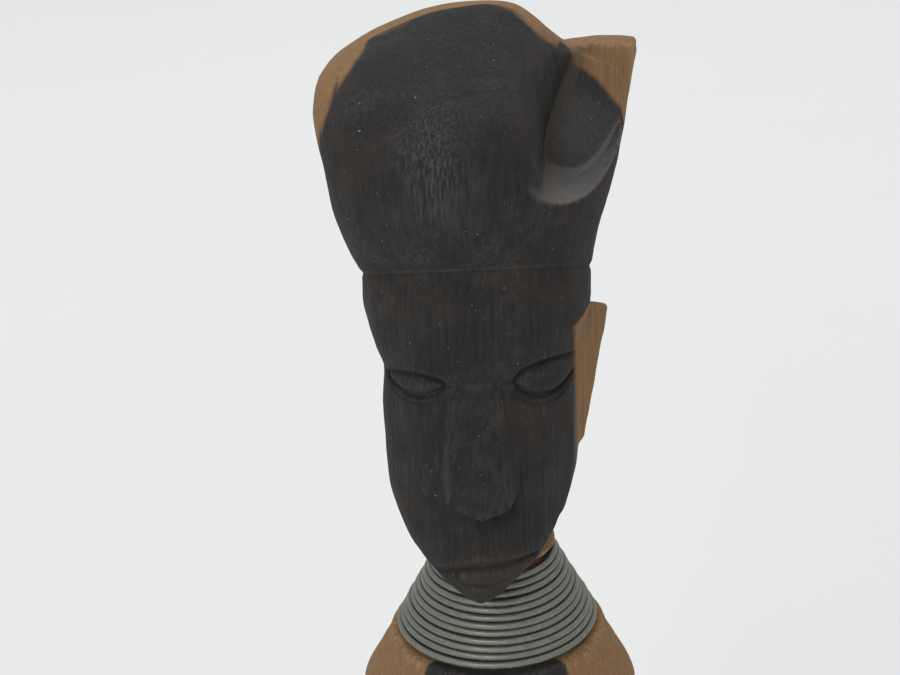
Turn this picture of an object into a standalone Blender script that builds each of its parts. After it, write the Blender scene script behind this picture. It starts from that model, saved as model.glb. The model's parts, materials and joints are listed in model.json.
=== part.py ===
"""A carved wooden doll with a wire coil round its neck.

Metres, +Z up. The doll faces -Y and stands on a round foot plate that is part of the same
block; the origin is the centre of the plate's underside. Two solids: the carved figure and
the coil, which turns freely about the neck's axis.
"""
import math

import bmesh
import bpy
from mathutils import Matrix, Vector

MM = 0.001

# Foot plate
PLATE_RADIUS = 30 * MM
PLATE_HEIGHT = 12 * MM
PLATE_CHAMFER = 1.2 * MM

# Body: from the top of the plate to the level on which the coil stands
BODY_HEIGHT = 204 * MM
SHOULDER_WIDTH = 45 * MM
HIP_WIDTH = 43 * MM
ARM_RADIUS = 5.6 * MM
FOOT_LENGTH = 21 * MM

# Neck coil: outer radii of its first and last turn
WIRE_DIAMETER = 1.2 * MM
TURN_GAP = 0.04 * MM
COIL_TURNS = 12
COIL_BASE_RADIUS = 16.1 * MM
COIL_TOP_RADIUS = 9.9 * MM
COIL_CLEARANCE = 0.4 * MM
SEAT_RIM = 0.5 * MM
POST_LENGTH = 12 * MM
NECK_ROOT = 6 * MM
NECK_TILT = math.radians(4)

# Head: from the tip of the chin to the crown of the hair; the jaw's underside rises to the
# back and clears the front of the coil's last turn
HEAD_HEIGHT = 84 * MM
HEAD_WIDTH = 30 * MM
HAIR_WIDTH = 46 * MM
JAW_CLEARANCE = 1.7 * MM
EYE_SPACING = 18.6 * MM
EYE_LENGTH = 9.4 * MM
EYE_OPENING = 4.8 * MM
NOSE_WIDTH = 12.6 * MM
MOUTH_WIDTH = 20 * MM
LIP_GROOVE = 1.4 * MM
EAR_THICKNESS = 2.4 * MM
EAR_SPACING = 25.2 * MM
WING_THICKNESS = 11 * MM

# Resolution
RING_POINTS = 16
COIL_POINTS = 20
ROUND_POINTS = 48

# Worked out from the sizes above
TURN_PITCH = WIRE_DIAMETER + TURN_GAP
COIL_SLANT = COIL_TURNS * TURN_PITCH
COIL_RISE = math.sqrt(COIL_SLANT ** 2 - (COIL_BASE_RADIUS - COIL_TOP_RADIUS) ** 2)
COIL_HEIGHT = COIL_RISE + WIRE_DIAMETER
NECK_BASE = Vector((0, 0, PLATE_HEIGHT + BODY_HEIGHT))
NECK_AXIS = Vector((0, -math.sin(NECK_TILT), math.cos(NECK_TILT)))
NECK_TOP = NECK_BASE + NECK_AXIS * COIL_HEIGHT
SEAT_RADIUS = COIL_BASE_RADIUS + SEAT_RIM
HIP = HIP_WIDTH / 2
SHOULDER = SHOULDER_WIDTH / 2

# The head is drawn in millimetres at these sizes, then scaled to the sizes wanted
DRAWN_HEIGHT = 84
DRAWN_FACE = 30
DRAWN_HAIR = 46
UP_UNIT = HEAD_HEIGHT / DRAWN_HEIGHT
FACE_UNIT = HEAD_WIDTH / DRAWN_FACE
HAIR_UNIT = HAIR_WIDTH / DRAWN_HAIR
CHIN_FRONT = -18.6
NOSE_FRONT = -27.2
NOSE_ROOT_UP = 34.6
NOSE_TIP_UP = 16.2
NOSE_BASE_UP = 14.6
EYE_UP = 33.0
MOUTH_UP = 7.2
WING_MIDDLE = 13.8
JAW_RISE = 0.44
HAIRLINE = 51.2
HAIR_RISE = -0.3
CHIN_Z = NECK_TOP.z + JAW_CLEARANCE + JAW_RISE * (CHIN_FRONT * MM + COIL_TOP_RADIUS)

# Cross-sections of the body, bottom to top: share of the body's height, half-width,
# depth to the front, depth to the back
BODY_SECTIONS = (
    (-0.010, HIP - 3.5 * MM, 15.0 * MM, 15.0 * MM),
    (0.030, HIP - 1.8 * MM, 16.5 * MM, 17.0 * MM),
    (0.100, HIP - 2.6 * MM, 15.6 * MM, 16.4 * MM),
    (0.250, HIP - 3.2 * MM, 15.4 * MM, 16.2 * MM),
    (0.400, HIP - 1.6 * MM, 16.4 * MM, 18.2 * MM),
    (0.500, HIP, 18.4 * MM, 20.0 * MM),
    (0.600, HIP - 2.0 * MM, 21.0 * MM, 15.6 * MM),
    (0.680, SHOULDER - 6.0 * MM, 18.8 * MM, 12.6 * MM),
    (0.780, SHOULDER - 5.2 * MM, 16.6 * MM, 12.8 * MM),
    (0.870, SHOULDER - 2.2 * MM, 17.6 * MM, 15.0 * MM),
    (0.930, SHOULDER - 0.4 * MM, 17.8 * MM, 16.4 * MM),
    (0.965, SHOULDER - 1.6 * MM, SEAT_RADIUS + 1.0 * MM, SEAT_RADIUS + 0.4 * MM),
    (0.990, SEAT_RADIUS + 0.8 * MM, SEAT_RADIUS + 0.5 * MM, SEAT_RADIUS + 0.5 * MM),
    (1.030, SEAT_RADIUS, SEAT_RADIUS, SEAT_RADIUS),
)

# Cross-sections of the head, drawn in millimetres: height of the front edge above the chin,
# rise per millimetre towards the back, left, right, front, back, squareness
FACE_SECTIONS = (
    (0.0, JAW_RISE, -9.5, 8.2, CHIN_FRONT, 8.0, 1.6),
    (1.4, 0.42, -13.0, 11.1, -20.8, 11.5, 1.7),
    (6.6, 0.34, -15.0, 12.7, -22.6, 14.6, 1.9),
    (14.0, 0.22, -16.0, 13.3, -21.8, 17.0, 2.1),
    (23.0, 0.12, -16.3, 13.6, -20.2, 18.6, 2.2),
    (32.0, 0.05, -15.8, 13.4, -18.8, 19.4, 2.3),
    (36.6, 0.0, -16.9, 14.2, -21.0, 19.8, 2.3),
    (43.5, -0.12, -18.2, 15.1, -21.6, 20.0, 2.3),
    (HAIRLINE, HAIR_RISE, -18.4, 15.2, -20.4, 20.2, 2.3),
)
HAIR_SECTIONS = (
    (HAIRLINE + 0.8, HAIR_RISE, -19.6, 16.0, -22.0, 20.6, 2.3),
    (59.0, -0.18, -22.6, 17.8, -23.8, 21.4, 2.4),
    (67.0, -0.05, -24.2, 20.2, -23.6, 21.6, 2.5),
    (72.8, 0.0, -24.8, 17.0, -19.6, 21.6, 2.5),
    (77.6, 0.0, -21.4, 13.0, -12.0, 21.0, 2.4),
    (81.6, 0.0, -13.0, 8.0, -2.5, 18.6, 2.2),
    (DRAWN_HEIGHT, 0.0, -5.0, 5.0, 4.5, 14.5, 2.0),
)
# Outlines of the hair's wing and of an ear, drawn in millimetres: across, up from the chin
WING_OUTLINE = (
    (0, 50), (14.6, 48), (18, 56), (20.4, 67), (21.9, 74.2), (22, 77.4), (11, 77.8), (0, 77),
)
EAR_OUTLINE = ((2, 39), (6.4, 38.8), (7.8, 37), (6.8, 27), (4.6, 19), (2, 15.2), (-1, 16))


def clear_scene():
    """Remove whatever the file holds."""
    for obj in list(bpy.data.objects):
        bpy.data.objects.remove(obj, do_unlink=True)


def new_collection(name):
    """Add a collection to the scene."""
    collection = bpy.data.collections.new(name)
    bpy.context.scene.collection.children.link(collection)
    return collection


def new_material(name, color, roughness, metallic=0.0):
    """Make a plain Principled BSDF material."""
    material = bpy.data.materials.new(name)
    material.use_nodes = True
    shader = material.node_tree.nodes["Principled BSDF"]
    shader.inputs["Base Color"].default_value = (*color, 1)
    shader.inputs["Roughness"].default_value = roughness
    shader.inputs["Metallic"].default_value = metallic
    return material


def move_to(obj, collection):
    """Put an object in one collection only."""
    for old in list(obj.users_collection):
        old.objects.unlink(obj)
    collection.objects.link(obj)


def as_tool(obj, tools):
    """Mark an object as one that only shapes another."""
    move_to(obj, tools)
    obj.hide_render = True
    obj.display_type = "WIRE"
    return obj


def combine(target, operation, *others):
    """Join solids to the target, or cut them from it."""
    for other in others:
        boolean = target.modifiers.new(f"{operation.lower()} {other.name}", "BOOLEAN")
        boolean.operation = operation
        boolean.solver = "EXACT"
        boolean.object = other


def subdivide(obj, levels=1):
    """Soften a coarse cage."""
    subsurf = obj.modifiers.new("soften", "SUBSURF")
    subsurf.levels = levels
    subsurf.render_levels = levels


def curve_as_mesh(curve):
    """Replace a curve object by the closed mesh that it shows."""
    graph = bpy.context.evaluated_depsgraph_get()
    mesh = bpy.data.meshes.new_from_object(curve.evaluated_get(graph))
    welded = bmesh.new()
    welded.from_mesh(mesh)
    bmesh.ops.remove_doubles(welded, verts=welded.verts, dist=0.001 * MM)
    bmesh.ops.recalc_face_normals(welded, faces=welded.faces)
    welded.to_mesh(mesh)
    welded.free()
    name = curve.name
    place = curve.matrix_world.copy()
    bpy.data.objects.remove(curve)
    solid = bpy.data.objects.new(name, mesh)
    solid.matrix_world = place
    bpy.context.scene.collection.objects.link(solid)
    return solid


def section_ring(height, rise, left, right, front, back, squareness):
    """Points of one closed cross-section, a superellipse that may slope up to the back."""
    grow = 1 / (2 / 3 + math.cos(math.tau / RING_POINTS) / 3)
    middle = Vector(((left + right) / 2, (front + back) / 2))
    half = Vector(((right - left) / 2, (back - front) / 2)) * grow
    points = []
    for step in range(RING_POINTS):
        angle = math.tau * step / RING_POINTS
        across = math.copysign(abs(math.cos(angle)) ** (2 / squareness), math.cos(angle))
        along = math.copysign(abs(math.sin(angle)) ** (2 / squareness), math.sin(angle))
        x = middle.x + half.x * across
        y = middle.y + half.y * along
        points.append(Vector((x, y, height + rise * (y - front))))
    return points


def loft(name, rings):
    """Skin closed rings into one solid, capped at both ends."""
    cage = bmesh.new()
    levels = [[cage.verts.new(point) for point in ring] for ring in rings]
    count = len(rings[0])
    for low, high in zip(levels, levels[1:]):
        for i in range(count):
            j = (i + 1) % count
            cage.faces.new((low[i], low[j], high[j], high[i]))
    cage.faces.new(reversed(levels[0]))
    cage.faces.new(levels[-1])
    mesh = bpy.data.meshes.new(name)
    cage.to_mesh(mesh)
    cage.free()
    obj = bpy.data.objects.new(name, mesh)
    bpy.context.scene.collection.objects.link(obj)
    return obj


def ellipsoid(name, centre, radii, tilt=(0, 0, 0)):
    """Make a stretched sphere."""
    bpy.ops.mesh.primitive_uv_sphere_add(segments=20, ring_count=12, radius=1)
    obj = bpy.context.object
    obj.name = name
    obj.scale = radii
    obj.rotation_euler = tilt
    obj.location = centre
    return obj


def outline_plate(name, outline, thickness):
    """Extrude an upright outline (across X, up Z) by the thickness, centred on Y = 0."""
    curve = bpy.data.curves.new(name, "CURVE")
    curve.dimensions = "2D"
    curve.fill_mode = "BOTH"
    curve.extrude = thickness / 2
    spline = curve.splines.new("POLY")
    spline.points.add(len(outline) - 1)
    for point, (across, up) in zip(spline.points, outline):
        point.co = (across, up, 0, 1)
    spline.use_cyclic_u = True
    obj = bpy.data.objects.new(name, curve)
    obj.rotation_euler = (math.pi / 2, 0, 0)
    bpy.context.scene.collection.objects.link(obj)
    bpy.context.view_layer.update()
    return curve_as_mesh(obj)


def tube(name, points, radii, sides_resolution=2):
    """Make a round limb or wire along points, with a radius at each."""
    curve = bpy.data.curves.new(name, "CURVE")
    curve.dimensions = "3D"
    curve.bevel_depth = 1
    curve.bevel_resolution = sides_resolution
    curve.use_fill_caps = True
    spline = curve.splines.new("POLY")
    spline.points.add(len(points) - 1)
    for point, place, radius in zip(spline.points, points, radii):
        point.co = (*place, 1)
        point.radius = radius
    obj = bpy.data.objects.new(name, curve)
    bpy.context.scene.collection.objects.link(obj)
    bpy.context.view_layer.update()
    return curve_as_mesh(obj)


def drawn(x, y, up, unit=FACE_UNIT):
    """Turn a place drawn on the head into metres."""
    return Vector((x * unit, y * MM, CHIN_Z + up * UP_UNIT))


def head_ring(section, unit):
    """Make one drawn cross-section of the head."""
    height, rise, left, right, front, back, squareness = section
    ring = section_ring(height * UP_UNIT, rise, left * unit, right * unit, front * MM, back * MM,
                        squareness)
    return [point + Vector((0, 0, CHIN_Z)) for point in ring]


def make_nose(tools):
    """Make the nose: a long wedge with a flat ridge, widest at its base."""
    bpy.ops.mesh.primitive_cube_add(size=1)
    nose = bpy.context.object
    nose.name = "nose"
    half = NOSE_WIDTH / FACE_UNIT / 2
    corners = {
        (-1, 1): (0.5 * half, NOSE_FRONT + 6.8, NOSE_ROOT_UP),
        (1, 1): (0.75 * half, NOSE_FRONT + 13.2, NOSE_ROOT_UP),
        (-1, -1): (0.52 * half, NOSE_FRONT, NOSE_TIP_UP),
        (1, -1): (half, NOSE_FRONT + 10.2, NOSE_BASE_UP),
    }
    for vertex in nose.data.vertices:
        side, depth, level = (math.copysign(1, value) for value in vertex.co)
        across, front, up = corners[depth, level]
        vertex.co = drawn(side * across, front, up)
    return as_tool(nose, tools)


def make_ear(name, side, swing, tools):
    """Make an ear: a flat slab that leans out from the side of the head by the swing."""
    outline = [(across * MM, up * UP_UNIT) for across, up in EAR_OUTLINE]
    ear = outline_plate(name, outline, EAR_THICKNESS)
    turn = swing if side > 0 else math.pi - swing
    root = drawn(side * EAR_SPACING / FACE_UNIT / 2, 0.5, 0)
    place = Matrix.Translation(root) @ Matrix.Rotation(turn, 4, "Z")
    ear.matrix_world = place @ ear.matrix_world
    return as_tool(ear, tools)


def make_wing(tools):
    """Make the hair's wing: an upright slab behind the right side of the dome."""
    outline = [(across * HAIR_UNIT, up * UP_UNIT) for across, up in WING_OUTLINE]
    wing = outline_plate("hair_wing", outline, WING_THICKNESS)
    wing.matrix_world = Matrix.Translation(drawn(0, WING_MIDDLE, 0)) @ wing.matrix_world
    return as_tool(wing, tools)


def make_scoop(tools):
    """Make the hollow that is cut from the hair's right front corner."""
    radii = (8.4 * MM, 16 * MM, 12 * MM)
    return as_tool(ellipsoid("hair_scoop", drawn(16, -8, 72, HAIR_UNIT), radii), tools)


def carve_eye(head, side, tools):
    """Sink an eye socket into the head and set an almond eyeball in it."""
    across = side * EYE_SPACING / FACE_UNIT / 2
    lean = (0, 0, side * math.radians(24))
    rim = 1.3 * MM
    hollow = (EYE_LENGTH / 2 + rim, 4.6 * MM, EYE_OPENING / 2 + rim)
    swell = (EYE_LENGTH / 2, 3 * MM, EYE_OPENING / 2)
    socket = ellipsoid("eye_socket", drawn(across, -20.6, EYE_UP), hollow, lean)
    ball = ellipsoid("eyeball", drawn(across, -14.9, EYE_UP), swell, lean)
    combine(head, "DIFFERENCE", as_tool(socket, tools))
    combine(head, "UNION", as_tool(ball, tools))


def make_mouth(tools):
    """Make the tube that cuts the mouth: a line that bows down and back at its ends."""
    steps = 9
    points = []
    for step in range(steps):
        across = (step / (steps - 1) - 0.5) * MOUTH_WIDTH / MM
        back = 0.12 * abs(across) ** 1.6
        points.append(drawn(across, CHIN_FRONT - 3 + back, MOUTH_UP - 0.16 * abs(across)))
    return as_tool(tube("mouth", points, [LIP_GROOVE / 2] * steps, 1), tools)


def make_head(tools):
    """Make the head with its hair, wing, ears, nose, eyes and mouth, as one solid."""
    rings = [head_ring(section, FACE_UNIT) for section in FACE_SECTIONS]
    rings += [head_ring(section, HAIR_UNIT) for section in HAIR_SECTIONS]
    head = as_tool(loft("head", rings), tools)
    subdivide(head)
    combine(head, "UNION", make_wing(tools))
    combine(head, "DIFFERENCE", make_scoop(tools))
    for side in (-1, 1):
        carve_eye(head, side, tools)
    combine(head, "UNION", make_nose(tools), make_ear("ear_right", 1, math.radians(56), tools),
            make_ear("ear_left", -1, math.radians(76), tools))
    combine(head, "DIFFERENCE", make_mouth(tools))
    return head


def on_body(x, y, share):
    """A place on the body, by its share of the body's height."""
    return Vector((x, y, PLATE_HEIGHT + share * BODY_HEIGHT))


def body_ring(share, half_width, front, back):
    """Make one cross-section of the body."""
    height = PLATE_HEIGHT + share * BODY_HEIGHT
    return section_ring(height, 0, -half_width, half_width, -front, back, 2.1)


def make_arm(name, side, tools):
    """Make an arm that hangs along the body and turns in to lay its hand on the belly."""
    outer = SHOULDER - ARM_RADIUS
    joints = (
        on_body(side * (outer - 2 * MM), 1 * MM, 0.93),
        on_body(side * (outer + 0.6 * MM), 1.5 * MM, 0.86),
        on_body(side * (outer + 1.6 * MM), 1.5 * MM, 0.78),
        on_body(side * (outer + 2.4 * MM), -0.5 * MM, 0.69),
        on_body(side * (outer + 1.2 * MM), -6 * MM, 0.64),
        on_body(side * (outer - 4 * MM), -14 * MM, 0.635),
        on_body(side * 5.5 * MM, -20 * MM, 0.64),
        on_body(side * 2.2 * MM, -20.6 * MM, 0.645),
    )
    shares = (0.9, 1, 0.94, 0.9, 0.84, 0.74, 0.7, 0.5)
    return as_tool(tube(name, joints, [share * ARM_RADIUS for share in shares]), tools)


def make_foot(name, side, tools):
    """Make a foot whose toes look out from under the robe."""
    centre = on_body(side * HIP * 0.36, -FOOT_LENGTH * 0.62, 0.01)
    return as_tool(ellipsoid(name, centre, (6 * MM, FOOT_LENGTH / 2, 6.4 * MM)), tools)


def upright_on_neck(obj, base):
    """Stand an object on a point of the neck's axis, along that axis."""
    turn = Vector((0, 0, 1)).rotation_difference(NECK_AXIS).to_matrix().to_4x4()
    obj.matrix_world = Matrix.Translation(base) @ turn
    return obj


def turned(name, profile):
    """Turn a profile of (radius, height) points, listed from top to bottom, about Z."""
    mesh = bpy.data.meshes.new(name)
    points = [(radius, 0, height) for radius, height in profile]
    mesh.from_pydata(points, [(i, i + 1) for i in range(len(points) - 1)], [])
    obj = bpy.data.objects.new(name, mesh)
    bpy.context.scene.collection.objects.link(obj)
    screw = obj.modifiers.new("turn", "SCREW")
    screw.steps = ROUND_POINTS
    screw.render_steps = ROUND_POINTS
    screw.use_merge_vertices = True
    screw.merge_threshold = 0.01 * MM
    return obj


def make_neck(tools):
    """Make the neck: a cone that fills the coil, then a post up into the head."""
    inset = WIRE_DIAMETER / 2 + (WIRE_DIAMETER / 2 + COIL_CLEARANCE) * COIL_SLANT / COIL_RISE
    inner_base = COIL_BASE_RADIUS - inset
    inner_top = COIL_TOP_RADIUS - inset
    profile = (
        (0, COIL_HEIGHT + POST_LENGTH),
        (inner_top, COIL_HEIGHT + POST_LENGTH),
        (inner_top, COIL_HEIGHT - WIRE_DIAMETER / 2),
        (inner_base, WIRE_DIAMETER / 2),
        (inner_base, -NECK_ROOT),
        (0, -NECK_ROOT),
    )
    return as_tool(upright_on_neck(turned("neck", profile), NECK_BASE), tools)


def make_seat_cutter(tools):
    """Make the block that levels the shoulders into a seat under the coil."""
    depth = 30 * MM
    bpy.ops.mesh.primitive_cylinder_add(vertices=ROUND_POINTS, radius=2 * SEAT_RADIUS, depth=depth)
    cutter = bpy.context.object
    cutter.name = "seat_cutter"
    bottom = NECK_BASE - NECK_AXIS * COIL_CLEARANCE
    upright_on_neck(cutter, bottom + NECK_AXIS * depth / 2)
    return as_tool(cutter, tools)


def make_plate(tools):
    """Make the round foot plate with a chamfered rim."""
    profile = (
        (0, PLATE_HEIGHT),
        (PLATE_RADIUS - PLATE_CHAMFER, PLATE_HEIGHT),
        (PLATE_RADIUS, PLATE_HEIGHT - PLATE_CHAMFER),
        (PLATE_RADIUS, 0),
        (0, 0),
    )
    return as_tool(turned("foot_plate", profile), tools)


def make_figure(parts, tools):
    """Make the carved figure, one block of wood from foot plate to hair."""
    figure = loft("carved_figure", [body_ring(*section) for section in BODY_SECTIONS])
    move_to(figure, parts)
    subdivide(figure)
    combine(figure, "DIFFERENCE", make_seat_cutter(tools))
    for name, side in (("left", -1), ("right", 1)):
        combine(figure, "UNION", make_arm(f"arm_{name}", side, tools),
                make_foot(f"foot_{name}", side, tools))
    combine(figure, "UNION", make_plate(tools), make_neck(tools), make_head(tools))
    figure.data.materials.append(new_material("carved_wood", (0.035, 0.022, 0.018), 0.55))
    return figure


def make_coil(parts):
    """Make the coil: one wire wound into a cone, its local Z on the neck's axis."""
    count = round(COIL_TURNS * COIL_POINTS)
    points = []
    for step in range(count + 1):
        share = step / count
        angle = math.tau * COIL_TURNS * share - math.pi / 2
        radius = COIL_BASE_RADIUS + (COIL_TOP_RADIUS - COIL_BASE_RADIUS) * share
        radius -= WIRE_DIAMETER / 2
        height = WIRE_DIAMETER / 2 + COIL_RISE * share
        points.append((radius * math.cos(angle), radius * math.sin(angle), height))
    coil = tube("neck_coil", points, [WIRE_DIAMETER / 2] * len(points))
    upright_on_neck(coil, NECK_BASE)
    move_to(coil, parts)
    coil.data.shade_smooth()
    coil.data.materials.append(new_material("galvanised_wire", (0.32, 0.33, 0.33), 0.45, 0.9))
    return coil


def main():
    """Build the doll."""
    clear_scene()
    parts = new_collection("fertility_doll")
    tools = new_collection("shaping_tools")
    make_figure(parts, tools)
    make_coil(parts)


main()
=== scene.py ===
"""Looks of a carved wooden doll with a wire coil round its neck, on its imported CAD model.

The figure is one closed surface. A signed field in millimetres describes it, negative inside:
sections lofted up the body and the head, then the planes and hollows that a carver cuts.
surface_net() meshes the field's zero level on a lattice that is fine at the head and coarser
down the body. The coil is a wire swept along its helix on the CAD joint's axis. Left and right
are as seen from the front, so right is +X.
"""
import json
import math

import bpy
import numpy as np
from mathutils import Matrix, Vector


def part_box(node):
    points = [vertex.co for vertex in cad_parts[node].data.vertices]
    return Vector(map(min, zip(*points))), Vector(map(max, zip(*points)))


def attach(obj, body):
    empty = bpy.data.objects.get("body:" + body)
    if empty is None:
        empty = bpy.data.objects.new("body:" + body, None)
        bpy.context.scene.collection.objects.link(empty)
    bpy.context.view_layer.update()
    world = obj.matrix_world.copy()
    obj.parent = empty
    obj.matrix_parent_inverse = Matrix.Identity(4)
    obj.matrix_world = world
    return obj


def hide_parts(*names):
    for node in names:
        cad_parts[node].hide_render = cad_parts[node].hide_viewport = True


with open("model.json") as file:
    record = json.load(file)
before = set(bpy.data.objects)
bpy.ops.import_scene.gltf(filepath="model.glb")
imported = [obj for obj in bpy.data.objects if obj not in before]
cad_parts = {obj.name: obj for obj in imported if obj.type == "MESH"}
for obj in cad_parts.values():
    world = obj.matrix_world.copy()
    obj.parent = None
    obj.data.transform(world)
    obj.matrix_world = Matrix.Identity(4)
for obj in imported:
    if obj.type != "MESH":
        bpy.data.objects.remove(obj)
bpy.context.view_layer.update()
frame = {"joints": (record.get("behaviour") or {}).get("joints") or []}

MM = 0.001

# ---------------------------------------------------------------- places taken from the frame
JOINT = frame["joints"][0]
NECK_BASE = np.array(JOINT["pos_m"]) / MM
NECK_AXIS = np.array(JOINT["axis"]) / np.linalg.norm(JOINT["axis"])
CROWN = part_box("carved_figure")[1][2] / MM
PLINTH_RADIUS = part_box("carved_figure")[1][0] / MM
HEAD_HEIGHT = 83.9
CHIN = CROWN - HEAD_HEIGHT

# ---------------------------------------------------------------- driving sizes, millimetres
PLINTH_HEIGHT = 12.0
PLINTH_EDGE = 1.2

WIRE = 1.2
TURN_GAP = 0.04
TURNS = 12
TURN_PITCH = WIRE + TURN_GAP
COIL_BASE = 16.1
COIL_TOP = 9.9
COIL_SLANT = TURNS * TURN_PITCH
COIL_RISE = math.sqrt(COIL_SLANT ** 2 - (COIL_BASE - COIL_TOP) ** 2)
COIL_CLEARANCE = 0.4
# How the coil that is seen differs from the CAD coil: lower at its foot, narrower at its top
# turn, and a share of its rise
COIL_SETTLED = 0.3
COIL_PINCH = 0.4
COIL_SQUEEZE = 0.93
NECK_INSET = WIRE / 2 + (WIRE / 2 + COIL_CLEARANCE) * COIL_SLANT / COIL_RISE
NECK_WIDE = COIL_BASE - NECK_INSET
NECK_NARROW = COIL_TOP - COIL_PINCH - NECK_INSET
COIL_HEIGHT = COIL_SQUEEZE * COIL_RISE
COIL_LIP = COIL_HEIGHT + WIRE - COIL_SETTLED
# The neck's small collar above the coil
NECK_FLARE = 1.5

# Middle of the growth rings, and the heartwood's radius about it by height
PITH = (1.0, -22.0)
HEARTWOOD = ((0, 14.5), (190, 14.2), (212, 13.0), (230, 13.5), (232, 17), (236, 22), (243, 23),
             (266, 23.4), (272, 28.6), (288, 34.0), (294, 34.2), (299, 32.6), (301.5, 31.6),
             (303.5, 30.4), (308, 29.2), (313, 28.6))
# Sapwood starts this far to the right at the ear
HEART_SIDE = 12.2
# Outline that the heartwood keeps inside on the front of the hair: across, height above the chin
HEART_ARCH = ((-26, 52), (-23.4, 60), (-22, 66.7), (-19.8, 73.6), (-16, 79.4), (-8, 83), (-0.8, 84),
              (3.8, 82.5), (10.6, 77.5), (11.5, 78), (13, 100))

# Mesh resolution: cells at the body and at the head, and the levels between which they change
BODY_CELL = 0.8
HEAD_CELL = 0.32
CELL_CHANGE = (188, 226)

# Cross-sections of the head: height above the chin at the front, rise per millimetre to the
# back, left, right, front, back, squareness
HEAD_SECTIONS = (
    (-2.0, 0.44, -5.0, 4.6, -17.4, 7.0, 1.4),
    (0.0, 0.44, -7.6, 6.8, -20.0, 9.0, 1.45),
    (2.0, 0.43, -11.0, 9.2, -21.6, 11.5, 1.6),
    (5.0, 0.38, -13.6, 11.2, -22.3, 13.5, 1.75),
    (8.0, 0.33, -14.8, 12.2, -22.6, 15.0, 1.85),
    (12.0, 0.25, -15.6, 12.9, -22.0, 16.5, 2.0),
    (18.0, 0.16, -16.1, 13.4, -20.8, 17.8, 2.15),
    (25.0, 0.10, -16.2, 13.5, -19.9, 18.8, 2.25),
    (30.5, 0.05, -15.9, 13.2, -19.2, 19.4, 2.3),
    (33.2, 0.02, -15.9, 13.2, -19.2, 19.5, 2.3),
    (35.4, 0.0, -16.4, 13.6, -20.0, 19.6, 2.3),
    (37.6, 0.0, -17.1, 14.2, -21.1, 19.7, 2.3),
    (40.5, -0.06, -17.8, 14.8, -21.7, 19.9, 2.3),
    (45.0, -0.18, -18.4, 15.3, -21.5, 20.1, 2.3),
    (50.9, -0.30, -18.6, 15.3, -20.2, 20.2, 2.3),
    (51.6, -0.30, -18.8, 15.4, -20.7, 20.3, 2.3),
    (54.0, -0.27, -20.0, 16.0, -22.4, 20.7, 2.3),
    (59.0, -0.18, -21.9, 17.6, -23.8, 21.4, 2.4),
    (64.0, -0.08, -23.0, 19.3, -24.0, 21.6, 2.45),
    (68.0, -0.02, -23.9, 20.3, -23.2, 21.6, 2.5),
    (71.5, 0.0, -24.4, 21.0, -21.0, 21.6, 2.6),
    (74.5, 0.0, -24.1, 19.0, -17.2, 21.4, 2.6),
    (77.0, 0.0, -22.4, 13.5, -12.6, 20.8, 2.5),
    (79.5, 0.0, -18.4, 9.6, -6.6, 19.8, 2.4),
    (81.6, 0.0, -13.4, 7.0, -1.2, 18.2, 2.3),
    (83.2, 0.0, -8.0, 4.6, 3.2, 15.6, 2.2),
    (84.0, 0.0, -2.0, 2.0, 7.0, 11.0, 2.0),
)
HAIRLINE = 51.2
# Each eye: middle, half-width and half-height, slope of its long axis
RIGHT_EYE = ((9.2, 34.0), (4.5, 2.9), -0.12)
LEFT_EYE = ((-9.6, 33.7), (4.7, 1.9), 0.12)
# Each ear: root, counted outward and back, and how far it leans
RIGHT_EAR = ((14.0, -2.0), math.radians(27))
LEFT_EAR = ((15.6, -2.0), math.radians(13))
# The notch beside the dome: middle and height of its ledge
NOTCH_MIDDLE = 13
NOTCH_FOOT = 60.8
# The painted highlight on the front of the dome, streaked like rubbing: middle, half-width and
# half-height
SHEEN_PATCH = (-5.5, 66)
SHEEN_PATCH_HALF = (4, 6.5)
TILT_FRONT = -20.0
TILT_REACH = 24.0

# Cross-sections of the body: height, half-width, front, back, squareness
BODY_SECTIONS = (
    (6, 18.0, 15.0, 15.0, 2.2),
    (13, 19.4, 16.8, 17.3, 2.2),
    (20, 19.5, 16.4, 17.0, 2.2),
    (34, 18.6, 15.6, 16.4, 2.15),
    (60, 18.1, 15.2, 16.0, 2.1),
    (94, 19.7, 16.4, 18.0, 2.1),
    (114, 21.2, 18.2, 19.9, 2.1),
    (134, 19.6, 20.4, 15.8, 2.1),
    (150, 17.0, 18.8, 12.8, 2.1),
    (170, 17.2, 16.8, 12.9, 2.1),
    (188, 20.0, 17.4, 14.8, 2.15),
    (200, 22.0, 17.8, 16.4, 2.2),
    (206, 21.7, 17.8, 17.0, 2.15),
    (211, 19.2, 17.4, 17.3, 2.1),
    (214.5, 17.3, 16.9, 17.2, 2.0),
    (217, 16.7, 16.6, 16.9, 2.0),
    (224, 16.6, 16.6, 16.6, 2.0),
)
# An arm from shoulder to wrist: x, y, z, radius
ARM = (
    (17.2, 1.0, 197, 5.0),
    (20.0, 1.5, 187, 5.7),
    (20.8, 1.5, 171, 5.3),
    (20.6, -1.0, 153, 5.0),
    (19.4, -7.0, 143, 4.7),
    (15.0, -14.0, 141, 4.2),
    (8.5, -19.4, 142, 3.7),
)
HAND = ((5.4, -20.6, 142.6), (4.8, 2.7, 3.7))
FOOT = ((7.7, -13.2, 14.2), (5.9, 10.6, 5.6))


# ---------------------------------------------------------------- field helpers
def smooth_union(a, b, soft):
    """Join two solids with a fillet about as wide as soft."""
    mix = np.maximum(soft - np.abs(a - b), 0) / soft
    return np.minimum(a, b) - mix * mix * soft / 4


def smooth_both(a, b, soft):
    """Keep what two solids share, with a rounded edge."""
    return -smooth_union(-a, -b, soft)


def ramp(low, high, value):
    """Rise smoothly from 0 at low to 1 at high; low may be the larger."""
    t = np.clip((value - low) / (high - low), 0, 1)
    return t * t * (3 - 2 * t)


def bell(value, width):
    """Peak of 1 at zero that falls off over the width."""
    return np.exp(-(value / width) ** 2)


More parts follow.
